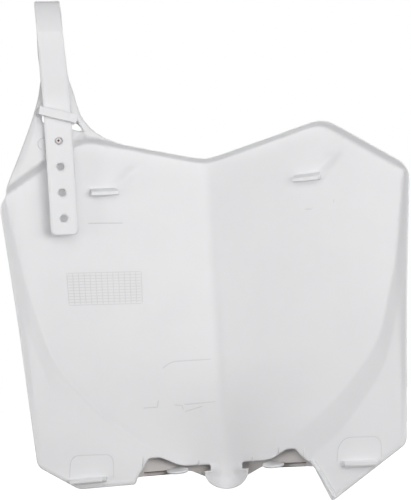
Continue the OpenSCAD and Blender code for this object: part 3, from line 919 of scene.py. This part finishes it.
for r in range(ROWS + 1):
    ridge(table, [table_spot(0, r / ROWS), table_spot(1, r / ROWS)], 0.5, 0.12)
for c in range(COLUMNS + 1):
    ridge(table, [table_spot(c / COLUMNS, 0), table_spot(c / COLUMNS, 1)], 0.5, 0.12)
small_parts.append(as_object("mould_table", table))

pins = bmesh.new()
loop = ring(-96.6, 206.4, 7.6, 28)
ridge(pins, loop + loop[:1], 0.8, 0.25)
for x, z in ((42.5, 104.4), (104.8, 118.3)):
    ridge(pins, [(x - 0.4, z), (x + 0.4, z)], 0.9, 0.2)
small_parts.append(as_object("pin_marks", pins))
small_parts.append(spun(
    "bridge_ring", [(0, -0.1), (1.8, -0.1), (1.9, 0.16), (2.1, 0.16), (2.2, -0.1), (0, -0.1)],
    BRIDGE_PLACE @ Matrix.Translation((half_b - 3.6, BRIDGE_Y, 0))
    @ Matrix.Rotation(math.radians(90), 4, "X")))

# %% Hem of the pointed wing
hem = bmesh.new()
ridge(hem, [(53.4, 1.4), (57.4, -4.2), (66.6, -22.2)], 2.4, 1.1)
small_parts.append(as_object("wing_hem", hem, smooth=False))

# %% [markdown]
# ## White polypropylene
#
# The plate is dyed through, so there is no paint to chip. The inner faces of the hood,
# the recesses of its floors and the fine raised lines take darker copies of the plastic,
# which are painted shade, and a dark reddish-brown disc sits in the hole of the peg. What
# keeps the plate from looking like a flat white shape is its surface: a fine satin grain
# from the etched mould, a slow clouding where the plastic cooled unevenly and faint
# scuffs from hands and straps that only change the gloss. A photo texture would stretch
# on the folds, so all three are noise in the space of the object.


# %% Groups of nodes
def new_group(name, inputs, outputs):
    """A node group with named sockets, and its two end nodes."""
    group = bpy.data.node_groups.new(name, "ShaderNodeTree")
    for label, kind, value in inputs:
        socket = group.interface.new_socket(label, in_out="INPUT", socket_type=kind)
        if value is not None:
            socket.default_value = value
    for label, kind in outputs:
        group.interface.new_socket(label, in_out="OUTPUT", socket_type=kind)
    start = group.nodes.new("NodeGroupInput")
    end = group.nodes.new("NodeGroupOutput")
    return group, start, end


def noise_node(group, scale, detail, roughness=0.5):
    """A noise texture with its plain settings."""
    node = group.nodes.new("ShaderNodeTexNoise")
    node.inputs["Scale"].default_value = scale
    node.inputs["Detail"].default_value = detail
    node.inputs["Roughness"].default_value = roughness
    return node


def range_node(group, low, high, to_low=0.0, to_high=1.0):
    """Maps one range of values to another, with soft ends."""
    node = group.nodes.new("ShaderNodeMapRange")
    node.interpolation_type = "SMOOTHSTEP"
    for label, value in (("From Min", low), ("From Max", high), ("To Min", to_low),
                         ("To Max", to_high)):
        node.inputs[label].default_value = value
    return node


def clouding_group():
    """Colour of the dyed plastic: two close whites, mixed by a slow noise."""
    group, start, end = new_group(
        "clouded_white",
        [("Place", "NodeSocketVector", None), ("Dye", "NodeSocketColor", (0.9, 0.9, 0.91, 1)),
         ("Cooler", "NodeSocketColor", (0.86, 0.865, 0.885, 1))],
        [("Colour", "NodeSocketColor")])
    slow = noise_node(group, 22.0, 5.0, 0.6)
    ramp = range_node(group, 0.35, 0.72)
    mix = group.nodes.new("ShaderNodeMix")
    mix.data_type = "RGBA"
    group.links.new(start.outputs["Place"], slow.inputs["Vector"])
    group.links.new(slow.outputs["Fac"], ramp.inputs["Value"])
    group.links.new(ramp.outputs["Result"], mix.inputs["Factor"])
    group.links.new(start.outputs["Dye"], mix.inputs["A"])
    group.links.new(start.outputs["Cooler"], mix.inputs["B"])
    group.links.new(mix.outputs["Result"], end.inputs["Colour"])
    return group


def surface_group():
    """Height of the satin grain and the roughness with its scuffs."""
    group, start, end = new_group(
        "satin_surface",
        [("Place", "NodeSocketVector", None), ("Gloss", "NodeSocketFloat", 0.42),
         ("Scuffed", "NodeSocketFloat", 0.6)],
        [("Height", "NodeSocketFloat"), ("Roughness", "NodeSocketFloat")])
    grain = noise_node(group, 2600.0, 3.0, 0.55)
    waves = noise_node(group, 120.0, 3.0, 0.5)
    stretch = group.nodes.new("ShaderNodeMapping")
    stretch.inputs["Scale"].default_value = (1.0, 1.0, 0.12)
    stretch.inputs["Rotation"].default_value = (0.0, 0.5, 0.0)
    lines = noise_node(group, 420.0, 4.0, 0.6)
    scuffs = range_node(group, 0.56, 0.74, 0.0, 0.12)
    patch = noise_node(group, 30.0, 2.0)
    where = range_node(group, 0.45, 0.65)
    height = group.nodes.new("ShaderNodeMath")
    height.operation = "MULTIPLY_ADD"
    height.inputs[1].default_value = 0.35
    gated = group.nodes.new("ShaderNodeMath")
    gated.operation = "MULTIPLY"
    amount = group.nodes.new("ShaderNodeMath")
    amount.operation = "MULTIPLY_ADD"
    place = start.outputs["Place"]
    for node in (grain, waves, patch, stretch):
        group.links.new(place, node.inputs["Vector"])
    group.links.new(stretch.outputs["Vector"], lines.inputs["Vector"])
    group.links.new(grain.outputs["Fac"], height.inputs[0])
    group.links.new(waves.outputs["Fac"], height.inputs[2])
    group.links.new(lines.outputs["Fac"], scuffs.inputs["Value"])
    group.links.new(patch.outputs["Fac"], where.inputs["Value"])
    group.links.new(scuffs.outputs["Result"], gated.inputs[0])
    group.links.new(where.outputs["Result"], gated.inputs[1])
    group.links.new(gated.outputs["Value"], amount.inputs[0])
    group.links.new(start.outputs["Scuffed"], amount.inputs[1])
    group.links.new(start.outputs["Gloss"], amount.inputs[2])
    group.links.new(height.outputs["Value"], end.inputs["Height"])
    group.links.new(amount.outputs["Value"], end.inputs["Roughness"])
    return group


CLOUDING, SURFACE = clouding_group(), surface_group()
print("groups", [g.name for g in bpy.data.node_groups])


# %% Material of the plate
def plastic(name, dye, cooler, gloss, scuffed, grain_depth):
    """White plastic: its groups feed the shader of the material."""
    made = bpy.data.materials.new(name)
    made.use_nodes = True
    nodes, links = made.node_tree.nodes, made.node_tree.links
    shader = nodes["Principled BSDF"]
    shader.inputs["IOR"].default_value = 1.49
    place = nodes.new("ShaderNodeTexCoord")
    cloud = nodes.new("ShaderNodeGroup")
    cloud.node_tree = CLOUDING
    cloud.inputs["Dye"].default_value = (*dye, 1)
    cloud.inputs["Cooler"].default_value = (*cooler, 1)
    skin = nodes.new("ShaderNodeGroup")
    skin.node_tree = SURFACE
    skin.inputs["Gloss"].default_value = gloss
    skin.inputs["Scuffed"].default_value = scuffed
    bump = nodes.new("ShaderNodeBump")
    bump.inputs["Distance"].default_value = grain_depth
    bump.inputs["Strength"].default_value = 0.5
    for group in (cloud, skin):
        links.new(place.outputs["Object"], group.inputs["Place"])
    links.new(cloud.outputs["Colour"], shader.inputs["Base Color"])
    links.new(skin.outputs["Roughness"], shader.inputs["Roughness"])
    links.new(skin.outputs["Height"], bump.inputs["Height"])
    links.new(bump.outputs["Normal"], shader.inputs["Normal"])
    return made


WHITE = plastic("white_polypropylene", (0.87, 0.87, 0.877), (0.85, 0.85, 0.86), 0.37, 0.8, 0.00004)
DETAIL = plastic("white_polypropylene_smooth", (0.86, 0.86, 0.868), (0.85, 0.85, 0.858),
                 0.34, 0.5, 0.00002)
# Painted shade: a darker copy of the plastic along the fine raised lines
LINES = plastic("white_polypropylene_painted_line_shade", (0.77, 0.77, 0.775), (0.72, 0.72, 0.725),
                0.6, 0.5, 0.00002)
# Painted shade: a darker, warmer copy of the plastic for the inner faces of the hood
PAINTED_HOOD_SHADE = plastic("white_polypropylene_in_shade", (0.74, 0.71, 0.69), (0.64, 0.61, 0.59),
               0.5, 0.6, 0.00004)
# Painted shade: a near-black brown copy of the plastic for the recesses of the floors
PAINTED_RECESS_SHADE = plastic("painted_shade_in_recesses", (0.16, 0.12, 0.11), (0.1, 0.075, 0.07), 0.7, 0.3, 0.00002)
# A dark reddish-brown for the disc in the peg's pin hole
CORE = plastic("dark_brown_in_the_pin_hole", (0.14, 0.045, 0.04), (0.09, 0.04, 0.035), 0.7, 0.3, 0.00002)
BY_NAME = {"mould_lines": LINES, "mould_table": LINES, "pin_marks": LINES, "peg_hole_spot": CORE}
wall.data.materials.append(WHITE)
for piece in small_parts:
    if not piece.name.startswith("floor_"):
        piece.data.materials.append(BY_NAME.get(piece.name, DETAIL))


def shade_painted(piece, unshaded_material, shade_material):
    """Plain plastic on forward faces and undersides at the foot, painted shade on all others."""
    piece.data.materials.append(unshaded_material)
    piece.data.materials.append(shade_material)
    shaded_count = 0
    for face in piece.data.polygons:
        under = face.normal.z < -0.5 and face.center.z < (HOOD_FOOT + 0.15) * MM
        if face.normal.y < 0.3 and not under:
            face.material_index = 1
            shaded_count += 1
    print(piece.name, shaded_count, "soiled faces")


# Painted shade on the inner faces of the hood and in the recesses of its floors
shade_painted(hood, WHITE, PAINTED_HOOD_SHADE)
for piece in small_parts:
    if piece.name.startswith("floor_"):
        shade_painted(piece, DETAIL, PAINTED_RECESS_SHADE)

# %% Hand every piece to the frame
pieces = [wall, hood, *small_parts]
for piece in pieces:
    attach(piece, "root")
    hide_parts("number_plate")
print(len(pieces), "pieces handed over")

# %% [markdown]
# ## Ground and backdrop
#
# The plate is shown cut out on white, so nothing but white may stand behind it. The
# ground is a real plane, because its bounce lights the underside of the ledges and the
# seats. It glows only for rays that come from the camera or from a reflection: then it
# reads as white, and still takes a soft shadow.


# %% Rays that see the background
def any_view(nodes, links, rays):
    """1 for a ray from the camera, and for one that is mirrored or passes through."""
    seen = rays.outputs["Is Camera Ray"]
    for label in ("Is Glossy Ray", "Is Transmission Ray"):
        both = nodes.new("ShaderNodeMath")
        both.operation = "ADD"
        both.use_clamp = True
        links.new(seen, both.inputs[0])
        links.new(rays.outputs[label], both.inputs[1])
        seen = both.outputs["Value"]
    return seen


# %% Ground
FLOOR_LEVEL = -0.0252
sheet = bmesh.new()
bmesh.ops.create_grid(sheet, x_segments=1, y_segments=1, size=3.0)
sheet.transform(Matrix.Translation((0, 0, FLOOR_LEVEL)))
floor = as_object("floor", sheet, smooth=False)
ground = bpy.data.materials.new("ground_white")
ground.use_nodes = True
ground_nodes, ground_links = ground.node_tree.nodes, ground.node_tree.links
paper = ground_nodes["Principled BSDF"]
paper.inputs["Base Color"].default_value = (0.3, 0.3, 0.3, 1)
paper.inputs["Roughness"].default_value = 0.9
paper.inputs["Emission Color"].default_value = (1, 1, 1, 1)
rays = ground_nodes.new("ShaderNodeLightPath")
glow = ground_nodes.new("ShaderNodeMath")
glow.operation = "MULTIPLY"
glow.inputs[1].default_value = 0.93
ground_links.new(any_view(ground_nodes, ground_links, rays), glow.inputs[0])
ground_links.new(glow.outputs["Value"], paper.inputs["Emission Strength"])
floor.data.materials.append(ground)

# %% Backdrop
AMBIENT = 0.2
world = bpy.data.worlds.new("studio")
bpy.context.scene.world = world
world.use_nodes = True
sky, sky_links = world.node_tree.nodes, world.node_tree.links
dim = sky["Background"]
dim.inputs["Color"].default_value = (0.97, 0.97, 1.0, 1)
dim.inputs["Strength"].default_value = AMBIENT
bright = sky.new("ShaderNodeBackground")
bright.inputs["Color"].default_value = (1, 1, 1, 1)
bright.inputs["Strength"].default_value = 1.0
seen = sky.new("ShaderNodeLightPath")
choice = sky.new("ShaderNodeMixShader")
sky_links.new(any_view(sky, sky_links, seen), choice.inputs["Fac"])
sky_links.new(dim.outputs["Background"], choice.inputs[1])
sky_links.new(bright.outputs["Background"], choice.inputs[2])
sky_links.new(choice.outputs["Shader"], sky["World Output"].inputs["Surface"])

# %% [markdown]
# ## Light
#
# The pictured plate was lit by large soft sources near the camera: the left half is a
# little brighter than the right one, and each fold shows by a slow change of tone. One
# hard lamp would draw shadows that aren't there. So a few wide area lamps stand close
# in front, each with one job. A small far one at the lower left gives the hooks their
# faint shadow, and one behind the plate lights its outer face for other views.

# %% Lamps
LAMPS = {
    # name: (place, size, watts, colour)
    "near_top": ((-0.02, -0.35, 0.28), 0.3, 0.42, (1.0, 1.0, 1.0)),
    "near_right": ((0.3, -0.4, 0.15), 0.32, 0.43, (1.0, 1.0, 1.0)),
    "low_right": ((0.25, -0.6, 0.05), 0.42, 1.08, (1.0, 1.0, 1.0)),
    "grazing_right": ((0.65, -0.3, 0.2), 0.3, 0.27, (1.0, 1.0, 1.0)),
    "left_low": ((-1.1, -1.2, 0.05), 0.3, 4.1, (1.0, 0.99, 1.0)),
    "behind": ((0.15, 1.1, 0.3), 0.8, 5.0, (1.0, 1.0, 1.0)),
}
AIM = Vector((0.0, 0.0, 0.12))
for name, (place, size, watts, colour) in LAMPS.items():
    light = bpy.data.lights.new(name, "AREA")
    light.shape = "SQUARE"
    light.size = size
    light.energy = watts
    light.color = colour
    lamp = bpy.data.objects.new(name, light)
    bpy.context.scene.collection.objects.link(lamp)
    lamp.location = place
    lamp.visible_camera = False
    lamp.rotation_euler = (AIM - Vector(place)).to_track_quat("-Z", "Y").to_euler()
print(len(LAMPS), "lamps")

# %% [markdown]
# ## Camera
#
# The plate leans a little to the left in the picture. The part keeps its own upright
# frame, so it is the camera that is rolled. A long lens far away keeps the two halves
# of the fold nearly the same size.

# %% Camera
EYE = Vector((0.0731, -1.25134, 0.0701))
TARGET = Vector((-0.00247, -0.01535, 0.13495))
ROLL = math.radians(3.8)
camera_data = bpy.data.cameras.new("camera")
camera_data.lens = 144.0
camera = bpy.data.objects.new("camera", camera_data)
bpy.context.scene.collection.objects.link(camera)
look = (TARGET - EYE).normalized()
level = look.cross(Vector((0, 0, 1))).normalized()
upright = level.cross(look)
right = level * math.cos(ROLL) - upright * math.sin(ROLL)
up = level * math.sin(ROLL) + upright * math.cos(ROLL)
camera.matrix_world = Matrix((
    (right.x, up.x, -look.x, EYE.x), (right.y, up.y, -look.y, EYE.y),
    (right.z, up.z, -look.z, EYE.z), (0, 0, 0, 1)))
bpy.context.scene.camera = camera
bpy.context.scene.view_settings.view_transform = "Standard"
